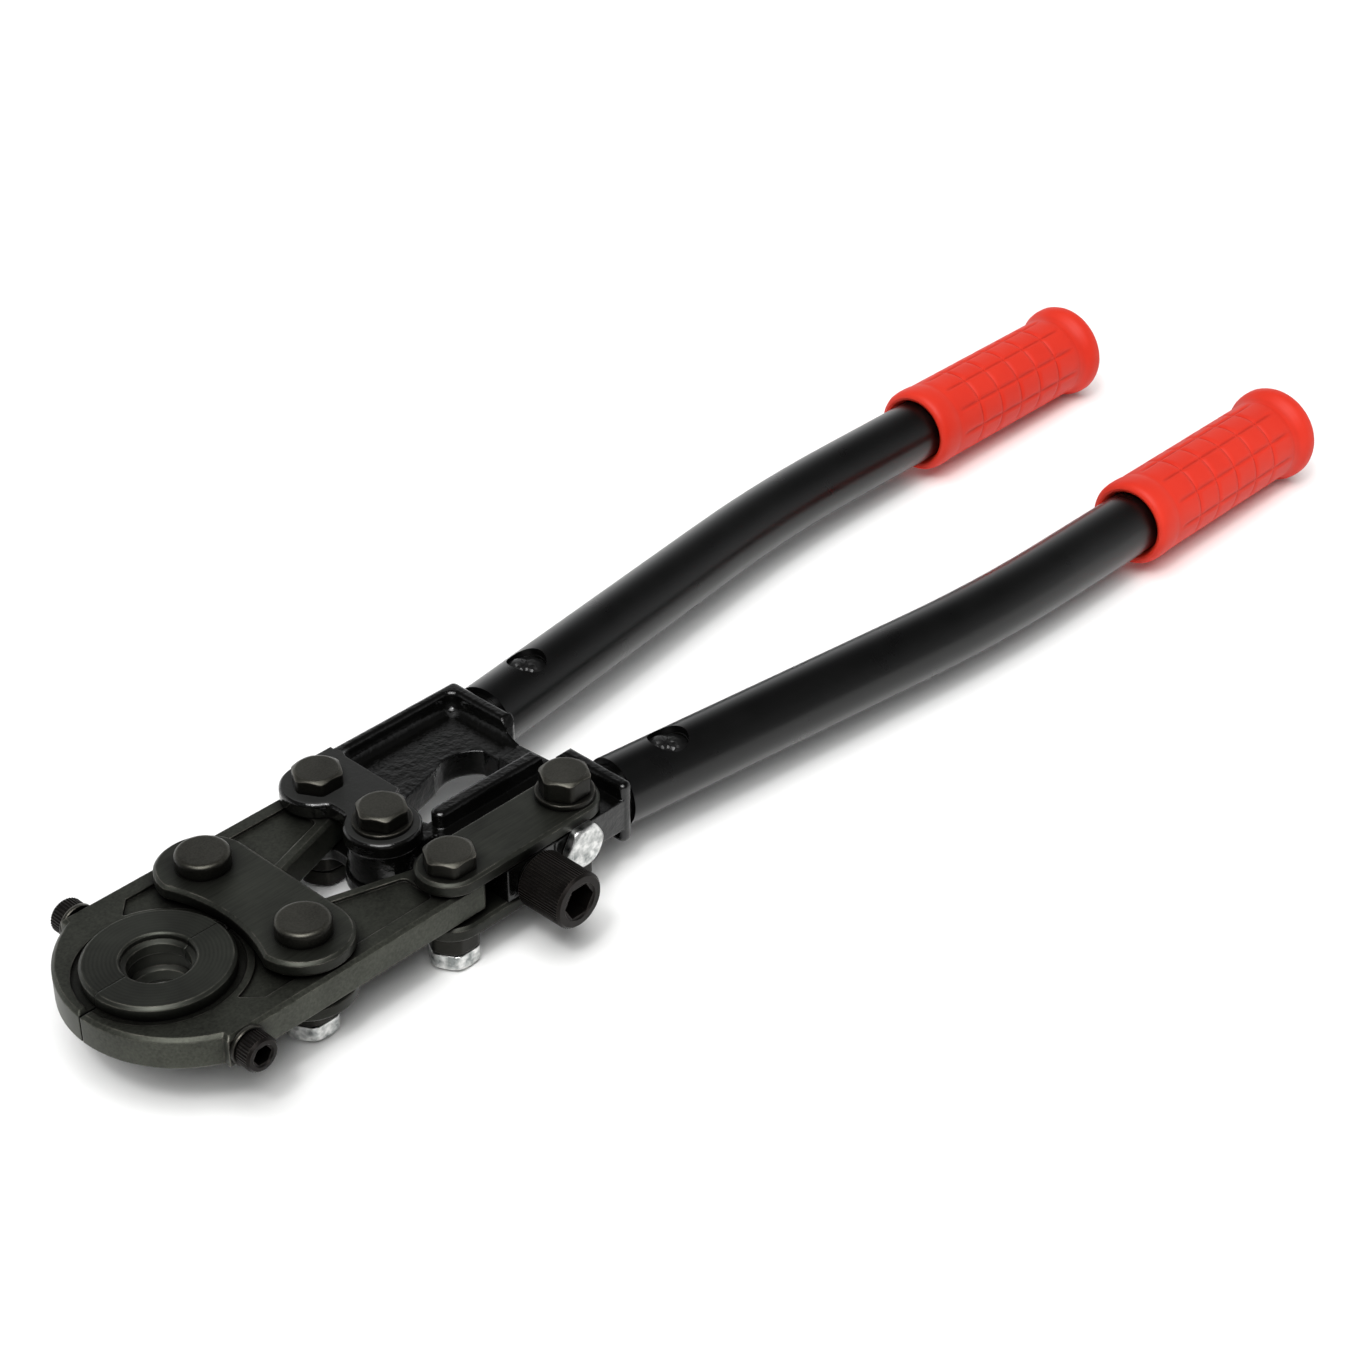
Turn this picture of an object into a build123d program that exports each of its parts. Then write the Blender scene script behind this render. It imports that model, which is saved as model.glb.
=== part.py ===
from build123d import *
import os
from math import acos, atan2, copysign, cos, hypot, radians, sin, sqrt, tan

# Hand-operated press pliers for pipe sleeves, at rest with the jaws closed.
# Origin: the centre of the press bore, half-way through its thickness.
# +X runs back along the tool to the grips, +Y to the right-hand jaw, +Z up, square to the opening plane.
# All sizes are in millimetres.

# Layers through the thickness
JAW_THICKNESS = 12.0
LAYER_GAP = 0.3
PLATE_THICKNESS = 5.5
PLATE_BEVEL = 1.0

# Dies
BORE_RADIUS = 10.0
GROOVE_DEPTH = 1.6
GROOVE_HALF = 2.6
RIDGE_WIDTH = 3.6
MOUTH_FLARE = 0.6
DIE_WALL = 10.0
DIE_FLANGE = 4.0
DIE_STANDOUT = 4.0
DIE_SPLIT_GAP = 0.1
DIE_SEAT_CLEARANCE = 0.05
DIE_THREAD_WALL = 1.8
RECESS_MARGIN = 2.7
RECESS_DEPTH = 1.0
RECESS_LIP = 2.3

# Jaws
JAW_LEVER = 54.0
JAW_SIDE = 9.1
JAW_SPLIT_GAP = 0.3
JAW_TAIL_RADIUS = 11.0
THROAT_SETBACK = 14.6
THROAT_Y = 8.0
NOSE_RADIUS = 43.0
NOSE_WALL = 3.3
NOSE_MIDWAY_ANGLE = 35.0
JAW_BEVEL = 1.2
RELIEF_FRONT_X = 8.0
RELIEF_CORNER = 5.5
RELIEF_SIDE = 7.0
RELIEF_INNER_Y = 12.0
RELIEF_SETBACK = 4.0
PANEL_RIM = 4.0
PANEL_SIDE = 6.0
PANEL_LAND = 2.5
PANEL_CORNER = 2.5

# Die screws, one through the side of each jaw
DIE_SCREW_RADIUS = 4.0
DIE_SCREW_HEAD_RADIUS = 6.1
DIE_SCREW_HEAD = 6.2
DIE_SCREW_KEY = 6.0
DIE_SCREW_KEY_DEPTH = 5.2
DIE_WASHER_RADIUS = 6.6
DIE_WASHER = 1.5
SCREW_CLEARANCE = 0.1

# Bridge plates and pins
BRIDGE_CLEARANCE = 2.5
BRIDGE_LOBE_RADIUS = 16.0
BRIDGE_HOLLOW = 5.1
PIN_Y = 24.3
PIN_RADIUS = 6.0
PIN_HEAD_RADIUS = 9.1
PIN_HEAD = 5.4
PIN_HEAD_EDGE = 1.6
PIN_NUT_FLATS = 17.0

# Bolts and nuts; closed, the three rear bolts stand in line across the tool
TAIL_Y = 31.9
BOLT_RADIUS = 5.0
BOLT_FLATS = 16.0
BOLT_HEAD = 5.5
LINK_BOLT_HEAD = 7.5
WASHER_RADIUS = 10.0
CENTRE_WASHER = 1.5
LINK_WASHER = 2.0
NUT_FLATS = 16.0
NUT = 8.0
LOCK_NUT = 6.0
TIP_RECESS = 0.8
RUNNING_CLEARANCE = 0.05
THREAD_CLEARANCE = 0.05
HEX_CORNER = 2.6
HEX_FACE_SHARE = 0.9
HEX_CHAMFER_ANGLE = 30.0

# Handle heads
LINK_LENGTH = 51.6
LINK_HALF_WIDTH = 11.5
LINK_END_GAP = 4.0
HEAD_WALL = 5.0
WALL_INNER_Y = 12.0
WALL_CORNER = 3.0
WALL_ROUND = 2.2
STOP_GAP = 0.3
STOP_Y = 4.4
STOP_LENGTH = 10.0
STOP_SETBACK = 1.0
CAST_EDGE = 1.6

# Right head: fork, web and rim
FORK_LOBE_RADIUS = 13.0
FORK_SLOT_CLEARANCE = 1.2
FORK_WALL = 4.7
FORK_ROOT_Y = 10.5
FORK_HOLLOW = 7.6
FORK_NECK = 3.0
WEB_HALF = 5.0
RIM_WIDTH = 4.0
POCKET_FILLET = 3.5
ARCH_LENGTH = 19.5
ARCH_FOOT_Y = 15.5
ARCH_TOP_Y = 17.5
ARCH_TOP_SETBACK = 7.5

# Left head: tongue and rib
TONGUE_EYE_RADIUS = 12.0
TONGUE_HALF = 9.0
TONGUE_PLAY = 3.6
HEAD_SETBACK = 2.4
RIB_INNER_Y = 5.5
RIB_WIDTH = 6.0
RIB_NOSE = 2.8
RIB_END_GAP = 5.5

# Adjuster
BLOCK_LENGTH = 21.0
BLOCK_DEPTH = 18.6
ADJUSTER_RADIUS = 5.0
ADJUSTER_TIP_GAP = 0.3
ADJUSTER_NECK_RADIUS = 6.0
ADJUSTER_NECK = 3.5
ADJUSTER_HEAD_RADIUS = 10.0
ADJUSTER_HEAD = 18.5
ADJUSTER_KEY = 11.0
ADJUSTER_KEY_DEPTH = 11.0
LOCK_BOLT_SETBACK = 11.5
LOCK_BOLT_RADIUS = 4.0
LOCK_BOLT_FLATS = 15.0
LOCK_BOLT_HEAD = 3.4
LOCK_BOLT_WALL = 1.2

# Handle tubes and grips
HANDLE_LENGTH = 366.5
TUBE_RADIUS = 12.5
TUBE_WALL = 2.5
TUBE_OFFSET = 1.0
TUBE_GAP = 2.5
TUBE_BEND_RADIUS = 600.0
BEND_TO_GRIP = 87.5
SPIGOT_LENGTH = 42.0
SPIGOT_CLEARANCE = 0.1
TUBE_PIN_ALONG = 26.6
TUBE_PIN_RADIUS = 7.0
TUBE_PIN_RECESS = 2.4
TUBE_PIN_BEVEL = 2.4
GRIP_Y = 53.8
GRIP_LENGTH = 106.0
GRIP_CAP = 7.0
GRIP_WALL = 4.5
GRIP_FLANGE_STANDOUT = 2.5
GRIP_LIP = 3.0
GRIP_CLEARANCE = 0.1

# Heights that several pieces share
jaw_half = JAW_THICKNESS / 2
plate_low = jaw_half + LAYER_GAP
plate_top = plate_low + PLATE_THICKNESS
nut_low = -plate_top - NUT
lock_nut_low = nut_low - LOCK_NUT
bolt_tip = lock_nut_low + TIP_RECESS
die_half = jaw_half + DIE_STANDOUT
recess_floor = jaw_half - RECESS_DEPTH

# Radii around the press bore
groove_radius = BORE_RADIUS + GROOVE_DEPTH
mouth_radius = groove_radius + MOUTH_FLARE
waist_radius = BORE_RADIUS + DIE_WALL
flange_radius = waist_radius + DIE_FLANGE
recess_radius = flange_radius + RECESS_MARGIN

# Places along the tool
bridge_front_x = flange_radius + BRIDGE_CLEARANCE - BRIDGE_HOLLOW
pin_x = bridge_front_x + BRIDGE_LOBE_RADIUS
bridge_rear_x = pin_x + BRIDGE_LOBE_RADIUS
throat_x = pin_x + THROAT_SETBACK
tail_x = pin_x + JAW_LEVER
fork_root_x = tail_x + JAW_TAIL_RADIUS + FORK_SLOT_CLEARANCE
fork_rear_x = fork_root_x + FORK_WALL
block_front_x = fork_root_x + HEAD_SETBACK
block_rear_x = block_front_x + BLOCK_LENGTH
adjuster_x = block_front_x + BLOCK_LENGTH / 2
lock_bolt_x = block_rear_x + LOCK_BOLT_SETBACK
link_x = tail_x + LINK_LENGTH
wall_front_x = link_x + LINK_HALF_WIDTH + LINK_END_GAP
wall_middle_x = wall_front_x + HEAD_WALL / 2
head_rear_x = wall_front_x + HEAD_WALL
stop_rear_x = wall_front_x - STOP_SETBACK
stop_x = stop_rear_x - STOP_LENGTH
tube_end_x = head_rear_x + HANDLE_LENGTH
grip_end_x = tube_end_x + GRIP_CAP
grip_start_x = grip_end_x - GRIP_LENGTH
tube_bend_x = grip_start_x - BEND_TO_GRIP

# Places across the tool
jaw_side_y = TAIL_Y + JAW_SIDE
link_outer_y = TAIL_Y + LINK_HALF_WIDTH
web_outer_y = link_outer_y - LAYER_GAP
rim_inner_y = link_outer_y - RIM_WIDTH
fork_outer_y = TAIL_Y + FORK_LOBE_RADIUS
right_stop_y = STOP_Y + STOP_GAP
rib_outer_y = RIB_INNER_Y + RIB_WIDTH
block_inner_y = web_outer_y - BLOCK_DEPTH
tube_root_y = TAIL_Y - TUBE_OFFSET

SIDES = (("right", 1), ("left", -1))
LAYERS = (("upper", plate_low), ("lower", -plate_top))

os.makedirs("parts", exist_ok=True)


def save(piece, name):
    """Label a finished piece and write it."""
    piece.label = name
    export_step(piece, f"parts/{name}.step")


def upright(x, y, z):
    """Plane through an upright axis, with X across it and Z along it."""
    return Plane((x, y, z), x_dir=(1, 0, 0), z_dir=(0, -1, 0))


def facing_out(x, y, side):
    """Plane across the side of the tool, its normal pointing away from the middle."""
    return Plane((x, side * y, 0), x_dir=(1, 0, 0), z_dir=(0, side, 0))


def outline(points, side):
    """Points of an outline drawn for the right-hand side, or their mirror image on the left."""
    return [(x, side * y) for x, y in points]


def hex_body(x, y, seat, height, flats):
    """Hex prism with soft corners and a chamfered far end, up from a seat or, if the height is negative, down."""
    corner = flats / sqrt(3)
    face_radius = HEX_FACE_SHARE * flats / 2
    drop = (corner - face_radius) * tan(radians(HEX_CHAMFER_ANGLE))
    shoulder = height - copysign(drop, height)
    profile = [(0, 0), (corner, 0), (corner, shoulder), (face_radius, height), (0, height)]
    with BuildPart() as body:
        with BuildSketch(Plane((x, y, seat))) as hexagon:
            RegularPolygon(flats / 2, 6, major_radius=False)
            fillet(hexagon.vertices(), HEX_CORNER)
        extrude(amount=height)
        with BuildSketch(upright(x, y, seat)):
            with BuildLine():
                Polyline(*profile, close=True)
            make_face()
        revolve(axis=Axis((x, y, seat), (0, 0, 1)), mode=Mode.INTERSECT)
    return body.part


def hex_bolt(x, y, seat, head):
    """Hex bolt with its head on a seat and its shank down to the level of the bolt tips."""
    body = hex_body(x, y, seat, head, BOLT_FLATS)
    with BuildPart() as bolt:
        add(body)
        with BuildSketch(Plane((x, y, seat))):
            Circle(BOLT_RADIUS)
        extrude(amount=bolt_tip - seat)
    return bolt.part


def nut_group(places, top, height, flats, radius):
    """Hex nuts hanging below a height, one at each place, as a group of separate solids."""
    bodies = [hex_body(x, y, top, -height, flats) for x, y in places]
    with BuildPart() as group:
        for body in bodies:
            add(body)
        with BuildSketch(Plane.XY.offset(top)):
            with Locations(*places):
                Circle(radius + THREAD_CLEARANCE)
        extrude(amount=-height, mode=Mode.SUBTRACT)
    return group.part


def washer(x, y, thickness):
    """Flat washer lying on the upper plates."""
    with BuildPart() as disc:
        with BuildSketch(Plane((x, y, plate_top))):
            Circle(WASHER_RADIUS)
            Circle(BOLT_RADIUS + THREAD_CLEARANCE, mode=Mode.SUBTRACT)
        extrude(amount=thickness)
    return disc.part


def bevel_plate(plate, bevel):
    """Chamfer the outer edges of a plate's upper and lower faces."""
    top = plate.faces().sort_by(Axis.Z)[-1]
    bottom = plate.faces().sort_by(Axis.Z)[0]
    chamfer(top.outer_wire().edges() + bottom.outer_wire().edges(), bevel)


def tube_plane(side, along):
    """Plane square to the straight front of a handle tube, at a distance from the head's rear face."""
    place = (head_rear_x + along * tube_cos, side * (tube_root_y + along * tube_sin), 0)
    return Plane(place, z_dir=(tube_cos, side * tube_sin, 0))


def spigot(side):
    """Stub that leaves a head's end wall along the tube and fills its end, drilled for the cross pin."""
    with BuildPart() as stub:
        with BuildSketch(tube_plane(side, -TUBE_GAP)):
            Circle(spigot_radius)
        extrude(amount=TUBE_GAP + SPIGOT_LENGTH)
        with BuildSketch(Plane((tube_pin_x, side * tube_pin_y, -TUBE_RADIUS))):
            Circle(TUBE_PIN_RADIUS + SCREW_CLEARANCE)
        extrude(amount=2 * TUBE_RADIUS, mode=Mode.SUBTRACT)
    return stub.part


def wall_wedges(side):
    """Wedges that come off the inner corners of a head's end wall, above and below."""
    with BuildPart() as wedges:
        with BuildSketch(Plane.YZ.offset(wall_front_x)):
            for face in (-1, 1):
                with BuildLine():
                    Polyline(
                        (side * WALL_INNER_Y, face * plate_top),
                        (side * (WALL_INNER_Y + WALL_CORNER), face * plate_top),
                        (side * WALL_INNER_Y, face * (plate_top - WALL_CORNER)),
                        close=True,
                    )
                make_face()
        extrude(amount=HEAD_WALL)
    return wedges.part


def rim_edges(head):
    """Edges around a casting's highest and lowest faces."""
    levels = head.faces().group_by(Axis.Z)
    return levels[0].edges() + levels[-1].edges()


# Jaws: split on the middle plane, with a lipped die seat, a relief by the bridge, a sunk panel and a tail eye
throat_run = hypot(throat_x - tail_x, THROAT_Y - TAIL_Y)
tail_angle = atan2(THROAT_Y - TAIL_Y, throat_x - tail_x) + acos(JAW_TAIL_RADIUS / throat_run)
tail_start = (tail_x + JAW_TAIL_RADIUS * cos(tail_angle), TAIL_Y + JAW_TAIL_RADIUS * sin(tail_angle))
tail_rear = (tail_x + JAW_TAIL_RADIUS, TAIL_Y)
tail_end = (tail_x + sqrt(JAW_TAIL_RADIUS ** 2 - JAW_SIDE ** 2), jaw_side_y)
nose_x = NOSE_RADIUS - recess_radius - NOSE_WALL
nose_tip = (nose_x - sqrt(NOSE_RADIUS ** 2 - JAW_SPLIT_GAP ** 2), JAW_SPLIT_GAP)
nose_angle = radians(NOSE_MIDWAY_ANGLE)
nose_midway = (nose_x - NOSE_RADIUS * cos(nose_angle), NOSE_RADIUS * sin(nose_angle))
boss_front_x = -DIE_WASHER_RADIUS
boss_foot = (boss_front_x, sqrt(NOSE_RADIUS ** 2 - (nose_x - boss_front_x) ** 2))
relief_outer_y = jaw_side_y - RELIEF_SIDE
relief_rear_x = pin_x - PIN_RADIUS - RELIEF_SETBACK
relief = [
    (RELIEF_FRONT_X, RELIEF_INNER_Y),
    (RELIEF_FRONT_X, relief_outer_y - RELIEF_CORNER),
    (RELIEF_FRONT_X + RELIEF_CORNER, relief_outer_y),
    (relief_rear_x, relief_outer_y),
    (relief_rear_x, RELIEF_INNER_Y),
]
panel_front_x = pin_x + PIN_RADIUS + PANEL_LAND
panel_rear_x = tail_x - BOLT_RADIUS - 2 * PANEL_LAND
panel_outer_y = jaw_side_y - PANEL_SIDE
panel_slope = (tail_start[1] - THROAT_Y) / (tail_start[0] - throat_x)
panel_rim = PANEL_RIM * hypot(1, panel_slope)
panel = [
    (panel_front_x, THROAT_Y + (panel_front_x - throat_x) * panel_slope + panel_rim),
    (panel_rear_x, THROAT_Y + (panel_rear_x - throat_x) * panel_slope + panel_rim),
    (panel_rear_x, panel_outer_y),
    (panel_front_x, panel_outer_y),
]

for name, side in SIDES:
    with BuildPart() as jaw:
        with BuildSketch(Plane.XY.offset(-jaw_half)):
            with BuildLine():
                Polyline(*outline([nose_tip, (pin_x, JAW_SPLIT_GAP), (throat_x, THROAT_Y), tail_start], side))
                ThreePointArc(*outline([tail_start, tail_rear, tail_end], side))
                Polyline(*outline([tail_end, (boss_front_x, jaw_side_y), boss_foot], side))
                ThreePointArc(*outline([boss_foot, nose_midway, nose_tip], side))
            make_face()
        extrude(amount=JAW_THICKNESS)
        bevel_plate(jaw.part, JAW_BEVEL)
        with BuildSketch(Plane.XY.offset(-jaw_half)):
            Circle(waist_radius + DIE_SEAT_CLEARANCE)
            with Locations((pin_x, side * PIN_Y)):
                Circle(PIN_RADIUS + RUNNING_CLEARANCE)
            with Locations((tail_x, side * TAIL_Y)):
                Circle(BOLT_RADIUS + RUNNING_CLEARANCE)
        extrude(amount=JAW_THICKNESS, mode=Mode.SUBTRACT)
        for face in (-1, 1):
            with BuildSketch(Plane.XY.offset(face * recess_floor)):
                with BuildLine():
                    Polyline(*outline(relief, side), close=True)
                make_face()
                Circle(recess_radius + RECESS_LIP, mode=Mode.SUBTRACT)
                Circle(recess_radius)
            extrude(amount=face * RECESS_DEPTH, mode=Mode.SUBTRACT)
            with BuildSketch(Plane.XY.offset(face * recess_floor)) as sunk:
                with BuildLine():
                    Polyline(*outline(panel, side), close=True)
                make_face()
                fillet(sunk.vertices(), PANEL_CORNER)
            extrude(amount=face * RECESS_DEPTH, mode=Mode.SUBTRACT)
        with BuildSketch(facing_out(0, 0, side)):
            Circle(DIE_SCREW_RADIUS + SCREW_CLEARANCE)
        extrude(amount=jaw_side_y, mode=Mode.SUBTRACT)
    save(jaw.part, f"{name}_jaw")

# Dies: a ridged half ring with a waist in the jaw and a flange over each face
ridge_flank = GROOVE_DEPTH / 2
ridge_start = GROOVE_HALF + ridge_flank
ridge_end = ridge_start + RIDGE_WIDTH
upper_profile = [
    (groove_radius, GROOVE_HALF),
    (BORE_RADIUS, ridge_start),
    (BORE_RADIUS, ridge_end),
    (groove_radius, ridge_end + ridge_flank),
    (groove_radius, die_half - MOUTH_FLARE),
    (mouth_radius, die_half),
    (flange_radius - PLATE_BEVEL, die_half),
    (flange_radius, die_half - PLATE_BEVEL),
    (flange_radius, recess_floor),
    (waist_radius, recess_floor),
]
lower_profile = [(radius, -height) for radius, height in reversed(upper_profile)]
thread_depth = DIE_WALL - GROOVE_DEPTH - DIE_THREAD_WALL
die_screw_tip = waist_radius - thread_depth + SCREW_CLEARANCE
die_head_y = jaw_side_y + DIE_WASHER

for name, side in SIDES:
    with BuildPart() as die:
        with BuildSketch(Plane.XZ):
            with BuildLine():
                Polyline(*upper_profile, *lower_profile, close=True)
            make_face()
        revolve(axis=Axis((0, 0, 0), (0, 0, side)), revolution_arc=180)
        Box(4 * flange_radius, 2 * DIE_SPLIT_GAP, 4 * die_half, mode=Mode.SUBTRACT)
        with BuildSketch(facing_out(0, waist_radius, side)):
            Circle(DIE_SCREW_RADIUS + THREAD_CLEARANCE)
        extrude(amount=-thread_depth, mode=Mode.SUBTRACT)
    save(die.part, f"{name}_die")

    with BuildPart() as die_washer:
        with BuildSketch(facing_out(0, jaw_side_y, side)):
            Circle(DIE_WASHER_RADIUS)
            Circle(DIE_SCREW_RADIUS + SCREW_CLEARANCE, mode=Mode.SUBTRACT)
        extrude(amount=DIE_WASHER)
    save(die_washer.part, f"{name}_die_washer")

    with BuildPart() as die_screw:
        with BuildSketch(facing_out(0, die_head_y, side)):
            Circle(DIE_SCREW_HEAD_RADIUS)
        extrude(amount=DIE_SCREW_HEAD)
        chamfer(die_screw.faces().sort_by(Axis((0, 0, 0), (0, side, 0)))[-1].edges(), PLATE_BEVEL)
        with BuildSketch(facing_out(0, die_head_y + DIE_SCREW_HEAD, side)):
            RegularPolygon(DIE_SCREW_KEY / 2, 6, major_radius=False)
        extrude(amount=-DIE_SCREW_KEY_DEPTH, mode=Mode.SUBTRACT)
        with BuildSketch(facing_out(0, die_head_y, side)):
            Circle(DIE_SCREW_RADIUS)
        extrude(amount=die_screw_tip - die_head_y)
    save(die_screw.part, f"{name}_die_screw")

# Bridge: two waisted plates, two round-headed pins through the jaws, and the nuts below
lobe_y = PIN_Y + BRIDGE_LOBE_RADIUS
hollow_x = bridge_front_x + BRIDGE_HOLLOW

for name, base in LAYERS:
    with BuildPart() as bridge_plate:
        with BuildSketch(Plane.XY.offset(base)):
            with BuildLine():
                Line((bridge_rear_x, -PIN_Y), (bridge_rear_x, PIN_Y))
                ThreePointArc((bridge_rear_x, PIN_Y), (pin_x, lobe_y), (bridge_front_x, PIN_Y))
                ThreePointArc((bridge_front_x, PIN_Y), (hollow_x, 0), (bridge_front_x, -PIN_Y))
                ThreePointArc((bridge_front_x, -PIN_Y), (pin_x, -lobe_y), (bridge_rear_x, -PIN_Y))
            make_face()
        extrude(amount=PLATE_THICKNESS)
        bevel_plate(bridge_plate.part, PLATE_BEVEL)
        with BuildSketch(Plane.XY.offset(base)):
            with Locations((pin_x, -PIN_Y), (pin_x, PIN_Y)):
                Circle(PIN_RADIUS + RUNNING_CLEARANCE)
        extrude(amount=PLATE_THICKNESS, mode=Mode.SUBTRACT)
    save(bridge_plate.part, f"{name}_bridge_plate")

pin_places = [(pin_x, PIN_Y), (pin_x, -PIN_Y)]

with BuildPart() as bridge_pins:
    with BuildSketch(Plane.XY.offset(plate_top)):
        with Locations(*pin_places):
            Circle(PIN_HEAD_RADIUS)
    extrude(amount=PIN_HEAD)
    fillet(bridge_pins.faces().group_by(Axis.Z)[-1].edges(), PIN_HEAD_EDGE)
    with BuildSketch(Plane.XY.offset(plate_top)):
        with Locations(*pin_places):
            Circle(PIN_RADIUS)
    extrude(amount=bolt_tip - plate_top)
save(bridge_pins.part, "bridge_pins")
save(nut_group(pin_places, -plate_top, NUT, PIN_NUT_FLATS, PIN_RADIUS), "bridge_nuts")
save(nut_group(pin_places, nut_low, LOCK_NUT, PIN_NUT_FLATS, PIN_RADIUS), "bridge_lock_nuts")

# Handle tubes, their cross pins and the grips, on the same bent line on both sides
tube_angle = atan2(GRIP_Y - tube_root_y, tube_bend_x - head_rear_x)
tube_cos = cos(tube_angle)
tube_sin = sin(tube_angle)
tube_start = (head_rear_x + TUBE_GAP * tube_cos, tube_root_y + TUBE_GAP * tube_sin)
tube_bore = TUBE_RADIUS - TUBE_WALL
spigot_radius = tube_bore - SPIGOT_CLEARANCE
tube_pin_x = head_rear_x + TUBE_PIN_ALONG * tube_cos
tube_pin_y = tube_root_y + TUBE_PIN_ALONG * tube_sin
tube_pin_half = TUBE_RADIUS - TUBE_PIN_RECESS
grip_bore = TUBE_RADIUS + GRIP_CLEARANCE
grip_radius = TUBE_RADIUS + GRIP_WALL
grip_flange_radius = grip_radius + GRIP_FLANGE_STANDOUT
grip_profile = [
    (grip_start_x, grip_bore + GRIP_LIP / 3),
    (grip_start_x, grip_radius - GRIP_LIP / 2),
    (grip_start_x + GRIP_LIP, grip_radius),
    (tube_end_x - GRIP_LIP, grip_radius),
    (tube_end_x, grip_flange_radius),
    (grip_end_x - GRIP_LIP, grip_flange_radius),
    (grip_end_x, grip_flange_radius - GRIP_LIP),
    (grip_end_x, 0),
    (tube_end_x + GRIP_CLEARANCE, 0),
    (tube_end_x + GRIP_CLEARANCE, grip_bore),
    (grip_start_x + GRIP_LIP, grip_bore),
]

for name, side in SIDES:
    with BuildPart() as tube:
        with BuildLine() as tube_line:
            FilletPolyline(
                *outline([tube_start, (tube_bend_x, GRIP_Y), (tube_end_x, GRIP_Y)], side),
                radius=TUBE_BEND_RADIUS,
            )
        with BuildSketch(tube_plane(side, TUBE_GAP)):
            Circle(TUBE_RADIUS)
            Circle(tube_bore, mode=Mode.SUBTRACT)
        sweep()
        with BuildSketch(Plane((tube_pin_x, side * tube_pin_y, -TUBE_RADIUS))):
            Circle(TUBE_PIN_RADIUS + SCREW_CLEARANCE)
        extrude(amount=2 * TUBE_RADIUS, mode=Mode.SUBTRACT)
    save(tube.part, f"{name}_tube")

    with BuildPart() as tube_pin:
        with BuildSketch(Plane((tube_pin_x, side * tube_pin_y, -tube_pin_half))):
            Circle(TUBE_PIN_RADIUS)
        extrude(amount=2 * tube_pin_half)
        chamfer(tube_pin.edges().filter_by(GeomType.CIRCLE), TUBE_PIN_BEVEL)
    save(tube_pin.part, f"{name}_tube_pin")

    with BuildPart() as grip:
        with BuildSketch(Plane((0, side * GRIP_Y, 0))):
            with BuildLine():
                Polyline(*grip_profile, close=True)
            make_face()
        revolve(axis=Axis((0, side * GRIP_Y, 0), (1, 0, 0)))
    save(grip.part, f"{name}_grip")

# Right handle head: fork cheeks over the jaw's tail and the centre bolt, then a rimmed and pocketed web
fork_places = [(tail_x, 0), (tail_x, TAIL_Y)]
fork_front_x = tail_x - FORK_LOBE_RADIUS
fork_hollow = (fork_front_x + FORK_HOLLOW, TAIL_Y / 2)
arch_foot = (stop_x - ARCH_LENGTH, ARCH_FOOT_Y)
arch_top = (stop_x - ARCH_TOP_SETBACK, ARCH_TOP_Y)
arch_end = (stop_x, WALL_INNER_Y)
right_spigot = spigot(1)
right_wedges = wall_wedges(1)

with BuildPart() as pocket:
    with BuildSketch(Plane.XY.offset(WEB_HALF)):
        with BuildLine():
            Polyline(
                (fork_rear_x, 0),
                (wall_front_x, 0),
                (wall_front_x, rim_inner_y),
                (fork_rear_x, rim_inner_y),
                close=True,
            )
        make_face()
    extrude(amount=plate_top)
    fillet(pocket.edges().filter_by(Axis.Z).group_by(Axis.Y)[-1], POCKET_FILLET)
    fillet(pocket.faces().sort_by(Axis.Z)[0].edges().sort_by(Axis.Y)[1:], POCKET_FILLET)

with BuildPart() as right_head:
    with BuildSketch(Plane.XY.offset(-plate_top)) as right_outline:
        with BuildLine():
            Polyline(
                arch_foot,
                (fork_rear_x, FORK_ROOT_Y),
                (fork_root_x, FORK_ROOT_Y),
                (fork_root_x, fork_outer_y),
                (fork_rear_x, fork_outer_y),
                (fork_rear_x, link_outer_y),
                (head_rear_x, link_outer_y),
                (head_rear_x, WALL_INNER_Y),
                (wall_front_x, WALL_INNER_Y),
                (stop_rear_x, right_stop_y),
                (stop_x, right_stop_y),
                arch_end,
            )
            ThreePointArc(arch_end, arch_top, arch_foot)
        make_face()
        fillet(right_outline.vertices().group_by(Axis.X)[-1], WALL_ROUND)
    extrude(amount=2 * plate_top)
    for name, base in LAYERS:
        with BuildSketch(Plane.XY.offset(base)) as cheek:
            with Locations(*fork_places):
                Circle(FORK_LOBE_RADIUS)
            with BuildLine():
                Polyline(
                    (fork_front_x, 0),
                    (tail_x, 0),
                    (fork_rear_x, FORK_ROOT_Y),
                    (fork_rear_x, fork_outer_y),
                    (tail_x, fork_outer_y),
                    (fork_front_x, TAIL_Y),
                )
                ThreePointArc((fork_front_x, TAIL_Y), fork_hollow, (fork_front_x, 0))
            make_face()
            neck = cheek.vertices().filter_by_position(Axis.X, fork_front_x + FORK_NECK, tail_x - FORK_NECK)
            fillet(neck, FORK_NECK)
        extrude(amount=PLATE_THICKNESS)
    add(pocket.part, mode=Mode.SUBTRACT)
    mirror(pocket.part, about=Plane.XY, mode=Mode.SUBTRACT)
    add(right_wedges, mode=Mode.SUBTRACT)
    fillet(rim_edges(right_head), CAST_EDGE)
    add(right_spigot)
    with BuildSketch(Plane.XY.offset(-plate_top)):
        with Locations(*fork_places):
            Circle(BOLT_RADIUS + RUNNING_CLEARANCE)
    extrude(amount=2 * plate_top, mode=Mode.SUBTRACT)
save(right_head.part, "right_handle_head")

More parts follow.
